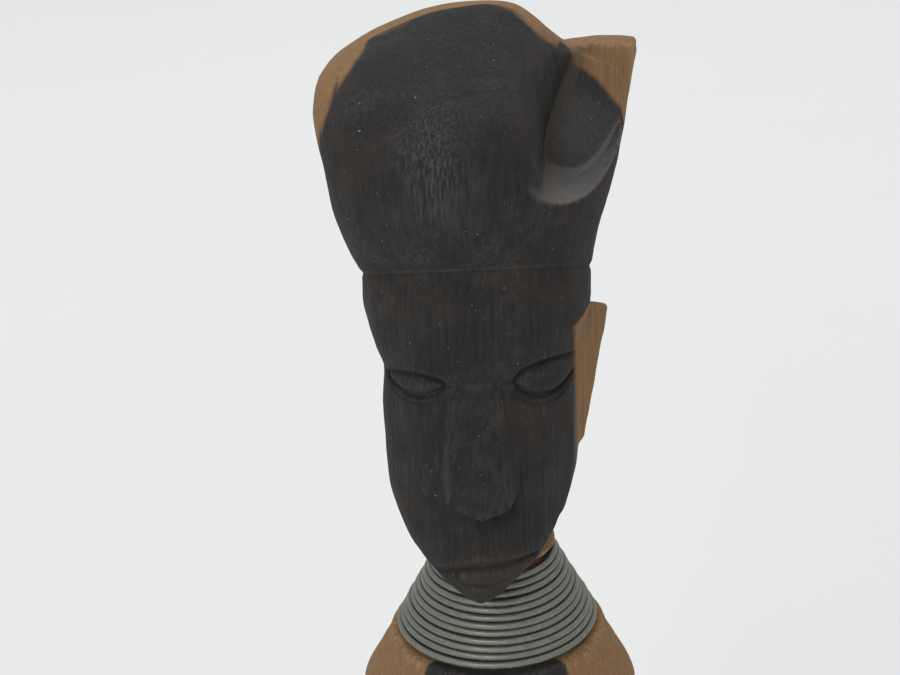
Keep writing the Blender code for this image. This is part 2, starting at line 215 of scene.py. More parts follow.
def spread_table(rows, step):
    """Fill a table's rows in to even steps, on curves through them that don't overshoot."""
    rows = np.array(rows, float)
    keys, data = rows[:, 0], rows[:, 1:]
    secant = np.diff(data, axis=0) / np.diff(keys)[:, None]
    slope = np.zeros_like(data)
    product = secant[1:] * secant[:-1]
    total = secant[1:] + secant[:-1]
    slope[1:-1] = np.where(product > 0, 2 * product / np.where(total == 0, 1, total), 0)
    slope[0], slope[-1] = secant[0], secant[-1]
    at = np.arange(keys[0], keys[-1] + step / 2, step)
    low = np.clip(np.searchsorted(keys, at, side="right") - 1, 0, len(keys) - 2)
    gap = (keys[low + 1] - keys[low])[:, None]
    t = (at[:, None] - keys[low][:, None]) / gap
    filled = ((1 + 2 * t) * (1 - t) ** 2 * data[low] + t * (1 - t) ** 2 * gap * slope[low]
              + t * t * (3 - 2 * t) * data[low + 1] - t * t * (1 - t) * gap * slope[low + 1])
    return keys[0], step, filled


def read_table(table, at):
    """Read all columns of a filled table at the places given."""
    start, step, filled = table
    place = np.clip((at - start) / step, 0, len(filled) - 1.001)
    low = place.astype(np.int32)
    share = place - low
    return [column[low] * (1 - share) + column[low + 1] * share for column in filled.T]


def section_distance(x, y, left, right, front, back, squareness):
    """Signed distance, along the ray from the middle, to a superellipse section."""
    across = x - (left + right) / 2
    along = y - (front + back) / 2
    sum_of_powers = (np.abs(across / ((right - left) / 2)) ** squareness
                     + np.abs(along / ((back - front) / 2)) ** squareness)
    rho = sum_of_powers ** (1 / squareness)
    radius = (np.sqrt(across * across + along * along) + 0.001) / (rho + 0.00007)
    return (rho - 1) * radius


def ellipsoid(x, y, z, centre, radii):
    """Approximate signed distance to an ellipsoid."""
    scaled = np.sqrt(((x - centre[0]) / radii[0]) ** 2 + ((y - centre[1]) / radii[1]) ** 2
                     + ((z - centre[2]) / radii[2]) ** 2)
    return (scaled - 1) * min(radii)


def limb(x, y, z, joints):
    """Signed distance to a chain of round rods with a radius at each joint."""
    nearest = np.full(x.shape, np.inf)
    for start, end in zip(joints, joints[1:]):
        a, b = np.array(start[:3]), np.array(end[:3])
        run = b - a
        t = ((x - a[0]) * run[0] + (y - a[1]) * run[1] + (z - a[2]) * run[2]) / (run @ run)
        t = np.clip(t, 0, 1)
        away = np.sqrt((x - a[0] - t * run[0]) ** 2 + (y - a[1] - t * run[1]) ** 2
                       + (z - a[2] - t * run[2]) ** 2)
        nearest = np.minimum(nearest, away - start[3] - t * (end[3] - start[3]))
    return nearest


# ---------------------------------------------------------------- head
HEAD_TABLE = spread_table(HEAD_SECTIONS, 0.05)


def section_lookup():
    """Tabulate which section a height belongs to, by distance back from the front."""
    start, step, filled = HEAD_TABLE
    sections = start + step * np.arange(len(filled))
    levers = np.arange(-8, TILT_REACH + 0.5, 0.5)
    heights = np.arange(-6, 92, 0.1)
    found = [np.interp(heights, sections + filled[:, 0] * lever, sections) for lever in levers]
    return levers, heights, np.array(found)


SECTION_OF = section_lookup()


def head_section(y, up):
    """Find the section that passes through each point."""
    levers, heights, found = SECTION_OF
    lever = np.clip(y - TILT_FRONT, levers[0], levers[-1] - 0.001)
    row = (lever - levers[0]) / (levers[1] - levers[0])
    column = np.clip((up - heights[0]) / (heights[1] - heights[0]), 0, len(heights) - 1.001)
    i, j = row.astype(np.int32), column.astype(np.int32)
    u, v = row - i, column - j
    inner = ((found[i, j] * (1 - v) + found[i, j + 1] * v) * (1 - u)
             + (found[i + 1, j] * (1 - v) + found[i + 1, j + 1] * v) * u)
    beyond = np.maximum(up - heights[-1], 0) + np.minimum(up - heights[0], 0)
    return inner + beyond


def nose(x, y, up):
    """A long plank with a flat ridge and a V-shaped underside."""
    ridge_y = -27.2 + 0.438 * (up - 16.4)
    off = np.abs(x - 0.4)
    left = -4.9 + 0.045 * (up - 17) - x
    right = x - 4.4 + 0.085 * (up - 17)
    front = np.maximum((ridge_y - y) / 1.09, y + 12)
    side = np.maximum(left, right) - 0.14 * np.minimum(y - ridge_y, 4.5)
    under = 16.3 + 0.42 * off - 0.05 * (y + 27) - up
    body = smooth_both(front, side, 0.9)
    return smooth_both(smooth_both(body, under, 0.6), up - 34.6, 0.8)


def wing(x, y, up):
    """The upright slab of hair behind the right of the dome."""
    side = x - (20.4 + 0.17 * (up - 66.9))
    front = 7.0 - 0.05 * (x - 16) - y
    back = y - 15
    top = up - 78.0 + 0.012 * (x - 17.5) ** 2
    under = 56 + 0.9 * np.maximum(x - 16, 0) - up
    slab = smooth_both(smooth_both(side, front, 0.7), smooth_both(back, top, 1.2), 1.0)
    return smooth_both(smooth_both(slab, under, 4), 7 - x, 2)


def notch_ledge(x, y, up):
    """Distance below the shelf at the notch's foot, which curls up at both ends."""
    left = np.maximum(NOTCH_MIDDLE - x, 0)
    right = np.maximum(x - NOTCH_MIDDLE, 0)
    back_rise = 0.03 * y * ramp(NOTCH_MIDDLE, 18, x)
    return (NOTCH_FOOT + 0.13 * right ** 2 + 0.1 * left ** 2 + back_rise - up) * 0.85


def notch(x, y, up):
    """The hollow beside the dome: its shelf, and a slanting facet that rises behind it."""
    slant = -5.5 + 0.55 * (x - 7.6) + 0.85 * (up - 60.5)
    facet = (y - smooth_union(slant, 7 - 0.02 * slant, 4)) * 0.7
    return smooth_both(facet, notch_ledge(x, y, up), 1.2)


def dome_flank(x, y, up):
    """Distance beyond the dome's right flank, between its front edge and the notch's crease."""
    edge_x = 8.4 - 0.32 * (up - 65.7)
    edge_y = -22.6 + 0.085 * np.maximum(up - 66, 0) ** 2
    crease_x = 8.4 + 0.0165 * np.maximum(up - 60.2, 0) ** 2
    crease_y = -2 + 0.53 * (up - 60.2)
    lean = np.clip((y - crease_y) / np.minimum(edge_y - crease_y, -4), -0.4, 1.1)
    return (x - crease_x - (edge_x - crease_x) * lean) * 0.93


def ear(x, y, up, root, lean):
    """A flat slab that leans out from the side of the head and tapers to its foot."""
    out = (math.sin(lean), math.cos(lean))
    along = (x - root[0]) * out[0] + (y - root[1]) * out[1]
    face = (x - root[0]) * out[1] - (y - root[1]) * out[0]
    edge = (along - 8.5 + 0.42 * np.maximum(37.7 - up, 0)) * 0.92
    top = (up - 41 + 0.31 * along) * 0.95
    foot = 18.6 + 0.1 * along - up
    behind = np.maximum(-face - 2.5, -along - 4)
    slab = smooth_both(smooth_both(face, behind, 0.5), edge, 0.7)
    return smooth_both(smooth_both(slab, top, 0.6), foot, 1.2)


def eye_relief(x, up, centre, half, slope):
    """An almond eyeball in an engraved ring, with the lower lid's ridge and crease."""
    across = (x - centre[0]) / half[0]
    rise = up - centre[1] - slope * (x - centre[0])
    rim = np.abs(rise) - half[1] * np.maximum(1 - across ** 2, 0) ** 0.7
    ends = bell(np.maximum(np.abs(across) - 0.95, 0), 0.2)
    low = ramp(0.6, -0.6, rise)
    ball = 1.2 * ramp(0.1, -2.0, rim)
    ring = -0.75 * bell(rim, 0.38)
    lid = low * (0.4 * bell(rim - 0.65, 0.3) - 0.4 * bell(rim - 1.25, 0.32))
    upper = (1 - low) * (0.35 * bell(rim - 0.9, 0.5))
    return ends * (ball + ring + lid + upper)


def face_relief(x, y, up):
    """Height of what is carved into the front of the face."""
    eyes = eye_relief(x, up, *RIGHT_EYE) + eye_relief(x, up, *LEFT_EYE)
    mouth_up = 7.3 - np.where(x < 0, 0.036, 0.009) * x * x
    mouth_end = ramp(8.2, 6.4, np.abs(x - 0.3))
    mouth = -0.75 * bell(up - mouth_up, 0.42) * mouth_end
    lips = 0.35 * bell(up - mouth_up - 1.3, 0.8) * mouth_end
    lips = lips + 0.3 * bell(up - mouth_up + 1.3, 0.7) * mouth_end
    nick = -0.9 * bell(np.hypot(x + 7.4, (up - 3.6) * 1.2), 0.8)
    crease = -0.45 * bell(up - 4.0 - 0.14 * np.abs(x), 0.35) * ramp(4.2, 2.8, np.abs(x))
    philtrum = 0.5 * bell(x + 0.6, 1.1) * ramp(7.8, 9.5, up) * ramp(17, 14, up)
    cheek_crease = -0.3 * bell(np.abs(x - 0.4) - 9.2 - 0.16 * (14 - up), 0.8) * bell(up - 12, 4)
    facing = ramp(-4, -8, y)
    return facing * (eyes + mouth + lips + nick + crease + philtrum + cheek_crease)


def hand_finish(x, y, z):
    """Soft unevenness left by the knife and the rasp."""
    broad = np.sin(0.55 * x + 0.8 + 0.5 * np.sin(0.31 * z)) * np.sin(0.37 * z + 0.4 * y)
    fine = np.sin(1.3 * y + 0.9 * np.sin(0.7 * x)) * np.sin(0.9 * z + 1.1 * x)
    return 0.09 * broad + 0.035 * fine


def head(x, y, z):
    """The whole head with hair, wing and ears."""
    up = z - CHIN
    skew = 0.045 * x * bell(up - 35.5, 3.6) + 0.04 * (x + 16) * bell(up - 50, 8)
    section = head_section(y, up - skew)
    _, left, right, front, back, squareness = read_table(HEAD_TABLE, section)
    skull = section_distance(x, y, left, right, front, back, squareness)
    skull = smooth_both(skull, (0.5 - section) * 0.9, 1.0)
    skull = smooth_both(skull, (up - HEAD_HEIGHT) * 0.9, 0.8)
    dome = smooth_both(skull, dome_flank(x, y, up), 2.5)
    hair = smooth_both(smooth_union(skull, wing(x, y, up), 0.7), -notch(x, y, up), 0.6)
    solid = smooth_union(dome, hair, 0.6)
    solid = smooth_union(solid, nose(x, y, up), 0.5)
    solid = solid - face_relief(x, y, up)
    solid = solid + 0.3 * bell(section - HAIRLINE, 0.4)
    ears = np.minimum(ear(x, y, up, *RIGHT_EAR), ear(-x, y, up, *LEFT_EAR))
    solid = smooth_union(solid, ears, 0.4)
    return solid - hand_finish(x, y, z)


# ---------------------------------------------------------------- neck, body and plinth
BODY_TABLE = spread_table(BODY_SECTIONS, 0.25)


def on_neck_axis(x, y, z):
    """Height along the neck's axis and distance from it."""
    px, py, pz = x - NECK_BASE[0], y - NECK_BASE[1], z - NECK_BASE[2]
    height = px * NECK_AXIS[0] + py * NECK_AXIS[1] + pz * NECK_AXIS[2]
    squared = px * px + py * py + pz * pz - height * height
    return height, np.sqrt(np.maximum(squared, 0))


def neck(x, y, z):
    """The cone that fills the coil, and the stem above it that enters the head."""
    height, away = on_neck_axis(x, y, z)
    share = np.clip((height - WIRE / 2 + COIL_SETTLED) / COIL_HEIGHT, 0, 1)
    radius = NECK_WIDE + (NECK_NARROW - NECK_WIDE) * share
    above = height - COIL_LIP
    radius = radius + NECK_FLARE * ramp(0.2, 0.9, above) * ramp(2.4, 1.2, above)
    wall = (away - radius) * 0.92
    return smooth_both(wall, np.maximum(-height - 6, height - COIL_RISE - 12), 0.3)


def plinth(x, y, z):
    """The round foot plate with a worn edge."""
    away = np.sqrt(x * x + y * y)
    turn = np.arctan2(y, x)
    worn = 0.1 + 0.06 * np.sin(3 * turn + 1) + 0.04 * np.sin(7 * turn)
    rim = away - PLINTH_RADIUS + worn * ramp(0, 3, z)
    return smooth_both(smooth_both(rim, z - PLINTH_HEIGHT, 2 * PLINTH_EDGE), -z, 0.5)


def feet(x, y, z):
    """Two feet that look out from under the robe, with grooves between the toes."""
    solid = ellipsoid(x, y, z, *FOOT)
    toes = bell((x - FOOT[0][0] + 1.1) % 2.2 - 1.1, 0.3) * ramp(-19, -21.5, y)
    return solid + 0.5 * toes


def hands(x, y, z):
    """Hands laid on the belly, with grooves between the fingers."""
    solid = ellipsoid(x, y, z, *HAND)
    fingers = bell((z - HAND[0][2] + 0.9) % 1.8 - 0.9, 0.28) * ramp(7.6, 5.6, x)
    return solid + 0.4 * fingers


def robe_relief(x, y, z):
    """Shallow upright folds in the robe and a carved line above its hem."""
    turn = np.arctan2(x, -y)
    sway = 0.25 * np.sin(z / 23)
    folds = np.abs(np.sin(4.5 * (turn + 0.08 * sway))) ** 0.7 - 0.6
    folds = 0.75 * folds * ramp(20, 32, z) * ramp(112, 84, z)
    hem = -0.4 * bell(z - 17.4, 0.8)
    sash = 0.55 * ramp(117, 118.2, z) * ramp(124, 122.8, z)
    return folds + hem + sash


def lower_body(x, y, z):
    """Robe, arms, hands and feet, levelled into a seat under the coil."""
    half, front, back, squareness = read_table(BODY_TABLE, z)
    torso = section_distance(x, y, -half, half, -front, back, squareness)
    side = np.abs(x + 0.25 * np.sin(z / 19))
    torso = torso - robe_relief(x, y, z)
    arms = limb(side, y, z, ARM)
    torso = smooth_union(torso, arms, 2.2)
    torso = smooth_union(torso, hands(side, y, z), 0.7)
    parting = 0.5 * bell(side - 0.2, 0.5) * bell(z - 142.6, 4) * ramp(-15, -19, y)
    torso = torso + parting
    torso = smooth_union(torso, feet(side, y, z), 0.6)
    torso = torso - hand_finish(x, y, z) * ramp(212, 204, z)
    height, _ = on_neck_axis(x, y, z)
    return smooth_both(torso, height + COIL_CLEARANCE, 0.6)


def figure_field(x, y, z):
    """Signed field of the whole carved figure."""
    solid = np.full(x.shape, 1e3)
    for reach, make in (((-10, 20), plinth), ((5, 226), lower_body),
                        ((200, 250), neck), ((CHIN - 4, 400), head)):
        inside = (z > reach[0]) & (z < reach[1])
        if inside.any():
            piece = make(x[inside], y[inside], z[inside])
            solid[inside] = smooth_union(solid[inside], piece, 0.5)
    return solid


def in_chunks(function, x, y, z, size=200_000):
    """Evaluate a field in blocks that fit the processor's cache."""
    flat = [array.ravel() for array in (x, y, z)]
    starts = range(0, len(flat[0]), size)
    parts = [function(*(array[s:s + size] for array in flat)) for s in starts]
    return np.concatenate(parts).reshape(x.shape)


# ---------------------------------------------------------------- meshing
BLOCK = 4
LATTICE_HALF = 92


def lattice_levels():
    """Heights of the lattice's levels, with the cell size at each."""
    levels, cells = [-1.2], []
    while True:
        cell = float(np.interp(levels[-1], CELL_CHANGE, (BODY_CELL, HEAD_CELL)))
        cells.append(cell)
        if levels[-1] > CROWN + 2 and len(levels) % BLOCK == 1:
            return np.array(levels), np.array(cells)
        levels.append(levels[-1] + cell)


def neighbours(axis):
    """Slices that pair each place of an array with the next one along an axis."""
    low, high = [slice(None)] * 3, [slice(None)] * 3
    low[axis], high[axis] = slice(None, -1), slice(1, None)
    return tuple(low), tuple(high)


def blocks_near_surface(place, size, cells):
    """Mark the blocks of the lattice that the surface may pass through, and those round them."""
    rough_index = np.meshgrid(*(np.arange(0, n, BLOCK) for n in size), indexing="ij")
    rough = in_chunks(figure_field, *place(*rough_index))
    corners = [rough[a:rough.shape[0] - 1 + a, b:rough.shape[1] - 1 + b, c:rough.shape[2] - 1 + c]
               for a in (0, 1) for b in (0, 1) for c in (0, 1)]
    reach = 1.3 * BLOCK * cells[::BLOCK][:-1]
    near = (np.min(corners, axis=0) < reach) & (np.max(corners, axis=0) > -reach)
    for axis in range(3):
        low, high = neighbours(axis)
        grown = near.copy()
        grown[high] |= near[low]
        grown[low] |= near[high]
        near = grown
    return near


def sample_near_surface(levels, cells):
    """Sample the field on the lattice where the surface may pass; elsewhere it stays unknown."""
    def place(i, j, k):
        return (i - LATTICE_HALF) * cells[k], (j - LATTICE_HALF) * cells[k], levels[k]

    size = (2 * LATTICE_HALF + 1, 2 * LATTICE_HALF + 1, len(levels))
    near = blocks_near_surface(place, size, cells)
    for axis in range(3):
        near = np.repeat(near, BLOCK, axis)
    known = np.zeros(size, bool)
    known[:-1, :-1, :-1] = near
    for axis in range(3):
        low, high = neighbours(axis)
        known[high] |= known[low]
    values = np.full(size, np.nan, np.float32)
    found = np.nonzero(known)
    values[found] = in_chunks(figure_field, *place(*found))
    return values, known, place


def crossed_edges(values, known, place, axis):
    """Where the zero level crosses the lattice's edges on one axis, and the cells round each."""
    low, high = neighbours(axis)
    crossed = ((values[low] < 0) != (values[high] < 0)) & known[low] & known[high]
    start = np.array(np.nonzero(crossed))
    end = start.copy()
    end[axis] += 1
    a, b = values[tuple(start)], values[tuple(end)]
    first, second = np.array(place(*start)), np.array(place(*end))
    crossings = (first + (second - first) * (a / (a - b))).T
    around = []
    for shift_u, shift_v in ((0, 0), (-1, 0), (-1, -1), (0, -1)):
        cell = start.copy()
        cell[(axis + 1) % 3] += shift_u
        cell[(axis + 2) % 3] += shift_v
        around.append(np.ravel_multi_index(tuple(cell), values.shape))
    around = np.array(around).T
    around[a > 0] = around[a > 0][:, ::-1]
    return crossings, around


def surface_net(values, known, place):
    """Mesh the zero level: one vertex in each cell that it crosses, one quad an edge."""
    found = [crossed_edges(values, known, place, axis) for axis in range(3)]
    crossings, corner_cells = (np.concatenate(part) for part in zip(*found))
    _, quads = np.unique(corner_cells, return_inverse=True)
    quads = quads.reshape(-1, 4)
    count = np.bincount(quads.ravel())
    points = [np.bincount(quads.ravel(), np.repeat(crossings[:, i], 4)) / count for i in range(3)]
    return np.array(points).T, quads


def gradient(points, step=0.04):
    """Field and its gradient at the points."""
    x, y, z = points.T
    value = in_chunks(figure_field, x, y, z)
    slopes = []
    for axis in range(3):
        offset = np.zeros(3)
        offset[axis] = step
        ahead = in_chunks(figure_field, x + offset[0], y + offset[1], z + offset[2])
        behind = in_chunks(figure_field, x - offset[0], y - offset[1], z - offset[2])
        slopes.append((ahead - behind) / (2 * step))
    return value, np.array(slopes).T


def settle_on_surface(points, rounds=2):
    """Move mesh points onto the field's zero level."""
    for _ in range(rounds):
        value, slope = gradient(points)
        cell = np.interp(points[:, 2], CELL_CHANGE, (BODY_CELL, HEAD_CELL))
        steep = np.maximum((slope ** 2).sum(1), 0.05)
        move = -slope * (value / steep)[:, None]
        length = np.sqrt((move ** 2).sum(1)) + 1e-9
        points = points + move * np.minimum(1, 0.45 * cell / length)[:, None]
    points[:, 2] = np.maximum(points[:, 2], 0)
    return points, slope / np.sqrt((slope ** 2).sum(1))[:, None]


def blurred(points, pairs, rounds):
    """Average each point with its neighbours, several times over."""
    count = np.bincount(pairs.ravel(), minlength=len(points))[:, None]
    for _ in range(rounds):
        total = np.zeros_like(points)
        for axis in range(3):
            column = points[:, axis]
            total[:, axis] = (np.bincount(pairs[:, 0], column[pairs[:, 1]], len(points))
                              + np.bincount(pairs[:, 1], column[pairs[:, 0]], len(points)))
        points = 0.5 * points + 0.5 * total / count
    return points


def mesh_object(name, points, faces):
    """Make a smooth mesh object from arrays of points in millimetres and quads."""
    mesh = bpy.data.meshes.new(name)
    mesh.vertices.add(len(points))
    mesh.vertices.foreach_set("co", (points * MM).astype(np.float32).ravel())
    mesh.loops.add(faces.size)
    mesh.loops.foreach_set("vertex_index", faces.astype(np.int32).ravel())
    mesh.polygons.add(len(faces))
    mesh.polygons.foreach_set("loop_start", np.arange(0, faces.size, 4, dtype=np.int32))
    mesh.update(calc_edges=True)
    mesh.validate()
    mesh.shade_smooth()
    obj = bpy.data.objects.new(name, mesh)
    bpy.context.scene.collection.objects.link(obj)
    return obj


def store(obj, name, values):
    """Keep one number a vertex for the material."""
    layer = obj.data.attributes.new(name, "FLOAT", "POINT")
    layer.data.foreach_set("value", np.asarray(values, np.float32))


def arch_distance(points):
    """Distance inside the outline that the heartwood keeps to on the front of the hair."""
    across, height = np.array(HEART_ARCH, float).T
    slope = np.diff(height) / np.diff(across)
    part = np.clip(np.searchsorted(across, points[:, 0]) - 1, 0, len(slope) - 1)
    above = points[:, 2] - CHIN - np.interp(points[:, 0], across, height)
    return -above / np.sqrt(1 + slope[part] ** 2)


def heart_depth(points):
    """Distance inside the heartwood, negative in the sapwood."""
    radius = np.hypot(points[:, 0] - PITH[0], points[:, 1] - PITH[1])
    depth = np.interp(points[:, 2], *np.array(HEARTWOOD, float).T) - radius
    depth = np.minimum(depth, arch_distance(points))
    above_ear = ramp(40.5, 43, points[:, 2] - CHIN)
    return np.minimum(depth, HEART_SIDE - points[:, 0] + 12 * above_ear)


def hollowness(figure, points, normals):
    """How far each vertex lies below the surface round it; edges come out negative."""
    pairs = np.zeros(len(figure.data.edges) * 2, np.int32)
    figure.data.edges.foreach_get("vertices", pairs)
    pairs = pairs.reshape(-1, 2)
    near, wide = (((blurred(points, pairs, rounds) - points) * normals).sum(1)
                  for rounds in (8, 60))
    return near + 0.35 * wide


def shelf_sheen(x, y, up, normals):
    """Painted highlight on the notch's ledge, and fainter painted light in the rest of the notch.
    """
    ledge = ramp(1.0, 0.4, np.abs(notch_ledge(x, y, up))) * ramp(0.3, 0.7, normals[:, 2])
    rest = 0.4 * ramp(0.8, 0.3, np.abs(notch(x, y, up))) * ramp(60, 62, up)
    return np.maximum(ledge, rest) * ramp(7, 9, x) * ramp(8, 4, y)


def notch_crease(x, y, up):
    """The line where the dome's flank runs into the notch."""
    return bell(dome_flank(x, y, up) - 0.5, 1.3) * bell(notch(x, y, up), 0.9) * ramp(60, 63, up)


def dome_sheen(x, y, up):
    """The painted highlight on the front of the dome."""
    across, rise = (x - SHEEN_PATCH[0]) / SHEEN_PATCH_HALF[0], (up - SHEEN_PATCH[1]) / SHEEN_PATCH_HALF[1]
    return bell(np.hypot(across, rise), 1.0) * ramp(-8, -14, y)


def make_figure():
    """Mesh the carved figure and store what its material reads at each vertex."""
    points, quads = surface_net(*sample_near_surface(*lattice_levels()))
    points, normals = settle_on_surface(points)
    figure = mesh_object("carved_wood_figure", points, quads)
    place = (points[:, 0], points[:, 1], points[:, 2] - CHIN)
    store(figure, "heart", heart_depth(points))
    store(figure, "hollow", hollowness(figure, points, normals))
    # Painted highlight on the notch's ledge, and painted light in the rest of the notch
    store(figure, "ledge_sheen", shelf_sheen(*place, normals))
    store(figure, "crease", notch_crease(*place))
    # Painted highlight on the front of the dome
    store(figure, "dome_highlight", dome_sheen(*place))
    return figure


# ---------------------------------------------------------------- coil
WIRE_SIDES = 12
TURN_STEPS = 110


def coil_line():
    """Places along the middle of the wire, and their angles; its ends are tucked in at the back."""
    count = TURNS * TURN_STEPS
    share = np.arange(count + 1) / count
    angle = 2 * math.pi * TURNS * share + math.pi / 2
    turn = share * TURNS
    swell = 0.07 * np.sin(2.3 * turn + 0.9) + 0.05 * np.sin(angle * 2 + 0.6 * turn)
    tuck = 0.3 * (ramp(0.12, 0, turn) + ramp(TURNS - 0.12, TURNS, turn))
    radius = COIL_BASE + (COIL_TOP - COIL_PINCH - COIL_BASE) * share - WIRE / 2 + swell - tuck
    wave = 0.08 * np.sin(2 * angle + 0.5) * ramp(0.0, 1.5, turn)
    height = WIRE / 2 - COIL_SETTLED + COIL_HEIGHT * share + wave
    return np.stack((radius * np.cos(angle), radius * np.sin(angle), height), 1), angle


def wire_rings(centre, angle, around):
    """Rings of points square to the wire at each place along it."""
    ahead = np.gradient(centre, axis=0)
    ahead /= np.linalg.norm(ahead, axis=1)[:, None]
    out = np.stack((np.cos(angle), np.sin(angle), 0 * angle), 1)
    up = np.cross(out, ahead)
    up /= np.linalg.norm(up, axis=1)[:, None]
    up *= np.sign(up[:, 2])[:, None]
    out = np.cross(ahead, up)
    out *= np.sign((out[:, :2] * centre[:, :2]).sum(1))[:, None]
    return (centre[:, None] + WIRE / 2 * (np.cos(around)[None, :, None] * out[:, None]
                                          + np.sin(around)[None, :, None] * up[:, None]))


def make_coil():
    """Skin the wire, close its ends, and stand the coil on the neck's axis."""
    around = 2 * math.pi * np.arange(WIRE_SIDES) / WIRE_SIDES
    rings = wire_rings(*coil_line(), around)
    count, sides = rings.shape[:2]
    index = np.arange(count * sides).reshape(count, sides)
    following = np.roll(index, -1, axis=1)
    quads = np.stack((index[:-1], following[:-1], following[1:], index[1:]), -1).reshape(-1, 4)
    tips = [tuple(index[0][::-1]), tuple(index[-1])]
    turn = Vector((0, 0, 1)).rotation_difference(Vector(NECK_AXIS)).to_matrix()
    points = rings.reshape(-1, 3) @ np.array(turn).T + NECK_BASE
    mesh = bpy.data.meshes.new("wound_neck_wire")
    mesh.from_pydata((points * MM).tolist(), [], quads.tolist() + tips)
    mesh.validate()
    mesh.shade_smooth()
    coil = bpy.data.objects.new("wound_neck_wire", mesh)
    bpy.context.scene.collection.objects.link(coil)
    # The material paints shade where the wire faces the next turns and the neck
    store(coil, "facing", np.tile(np.cos(around), count))
    return coil


# ---------------------------------------------------------------- materials
def rgb(red, green, blue):
    """A linear colour with full alpha."""
    return (red, green, blue, 1.0)


HEART_DEEP = rgb(0.0110, 0.0112, 0.0118)
HEART_FIBRE = rgb(0.042, 0.041, 0.040)
HEART_SOOT = rgb(0.0120, 0.0125, 0.0135)
HEART_RUDDY = rgb(0.046, 0.031, 0.024)
HEART_RING = rgb(0.030, 0.026, 0.024)
HEART_PORE = rgb(0.008, 0.008, 0.008)
SAP_DEEP = rgb(0.185, 0.101, 0.044)
SAP_FIBRE = rgb(0.300, 0.180, 0.086)
SAP_RING = rgb(0.215, 0.118, 0.052)
SAP_PORE = rgb(0.120, 0.060, 0.028)
# Pale grey of the scuffs, and of the painted highlight on the dome
SCUFF_AND_SHEEN_GREY = rgb(0.150, 0.148, 0.142)
LINT_GREY = rgb(0.28, 0.28, 0.27)
DUST_BROWN = rgb(0.120, 0.096, 0.070)
# Pale grey of the painted highlight on the notch's ledge
SHELF_SHEEN_GREY = rgb(0.210, 0.207, 0.200)
CREASE_BROWN = rgb(0.085, 0.062, 0.045)
WORN_SAP = rgb(0.42, 0.27, 0.14)
WORN_HEART = rgb(0.085, 0.072, 0.060)
ZINC_DULL = rgb(0.145, 0.150, 0.120)
ZINC_BRIGHT = rgb(0.285, 0.295, 0.250)
ZINC_FLECK = rgb(0.42, 0.43, 0.39)
# Painted shade on the wire where it faces the next turns and the neck
WIRE_GAP_SHADE = rgb(0.070, 0.070, 0.058)

# Shrink of the height, for patterns that are drawn out along the block
RING_STRETCH = 0.03
FIBRE_STRETCH = 0.045
PORE_STRETCH = 0.12

# Stored depth plus noise, across which the sapwood turns into heartwood
HEART_EDGE = (-0.75, 0.05)
WOOD_ROUGHNESS = 1.0


class Nodes:
    """Short way to add and link the nodes of one material."""

    def __init__(self, name):
        self.material = bpy.data.materials.new(name)
        self.material.use_nodes = True
        self.tree = self.material.node_tree
        self.shader = self.tree.nodes["Principled BSDF"]

    def add(self, kind, inputs=None, **settings):
        node = self.tree.nodes.new("ShaderNode" + kind)
        for key, value in settings.items():
            setattr(node, key, value)
        for key, value in (inputs or {}).items():
            self.feed(node.inputs[key], value)
        return node

    def feed(self, socket, value):
        if isinstance(value, bpy.types.NodeSocket):
            self.tree.links.new(value, socket)
        else:
            socket.default_value = value

    def math(self, operation, a, b=0.0, clamp=False):
        node = self.add("Math", {0: a, 1: b}, operation=operation, use_clamp=clamp)
        return node.outputs[0]

    def blend(self, share, a, b, mode="MIX"):
        node = self.add("Mix", data_type="RGBA", blend_type=mode)
        for socket, value in ((0, share), (6, a), (7, b)):
            self.feed(node.inputs[socket], value)
        return node.outputs[2]

    def tint(self, share, strength, color, over):
        return self.blend(self.math("MULTIPLY", share, strength), color, over)

    def between(self, value, low, high, to_low=0.0, to_high=1.0):
        node = self.add("MapRange", {0: value, 1: low, 2: high, 3: to_low, 4: to_high},
                        interpolation_type="SMOOTHSTEP")
        return node.outputs[0]

    def noise(self, vector, scale, detail=3.0, roughness=0.55, distortion=0.0):
        node = self.add("TexNoise", {"Vector": vector, "Scale": scale, "Detail": detail,
                                     "Roughness": roughness, "Distortion": distortion})
        return node.outputs["Fac"]

    def attribute(self, name):
        return self.add("Attribute", attribute_name=name).outputs["Fac"]

    def in_mm(self, stretch=1.0, location=(0, 0, 0)):
        """Object coordinates in millimetres, with the height shrunk."""
        scale = (1 / MM, 1 / MM, stretch / MM)
        mapping = self.add("Mapping", {"Vector": self.in_metres(), "Scale": scale,
                                       "Location": location})
        return mapping.outputs["Vector"]

    def in_metres(self):
        return self.add("TexCoord").outputs["Object"]

    def finish(self, color, roughness, bump, strength, distance):
        self.feed(self.shader.inputs["Base Color"], color)
        self.feed(self.shader.inputs["Roughness"], roughness)
        relief = self.add("Bump", {"Height": bump, "Strength": strength, "Distance": distance})
        self.feed(self.shader.inputs["Normal"], relief.outputs["Normal"])
        return self.material


def wood_grain(n):
    """Growth rings about the pith, long fibres, and short pores."""
    ring_place = n.in_mm(RING_STRETCH, (-PITH[0], -PITH[1], 0))
    rings = n.add("TexWave", {"Vector": ring_place, "Scale": 0.24, "Distortion": 2.2,
                              "Detail": 3.0, "Detail Scale": 0.7, "Detail Roughness": 0.6},
                  wave_type="RINGS", rings_direction="Z").outputs["Fac"]
    fibres = n.between(n.noise(n.in_mm(FIBRE_STRETCH), 1.7, 4.0, 0.6), 0.12, 0.88)
    pores = n.between(n.noise(n.in_mm(PORE_STRETCH), 3.2, 2.0, 0.5), 0.60, 0.70)
    return rings, fibres, pores


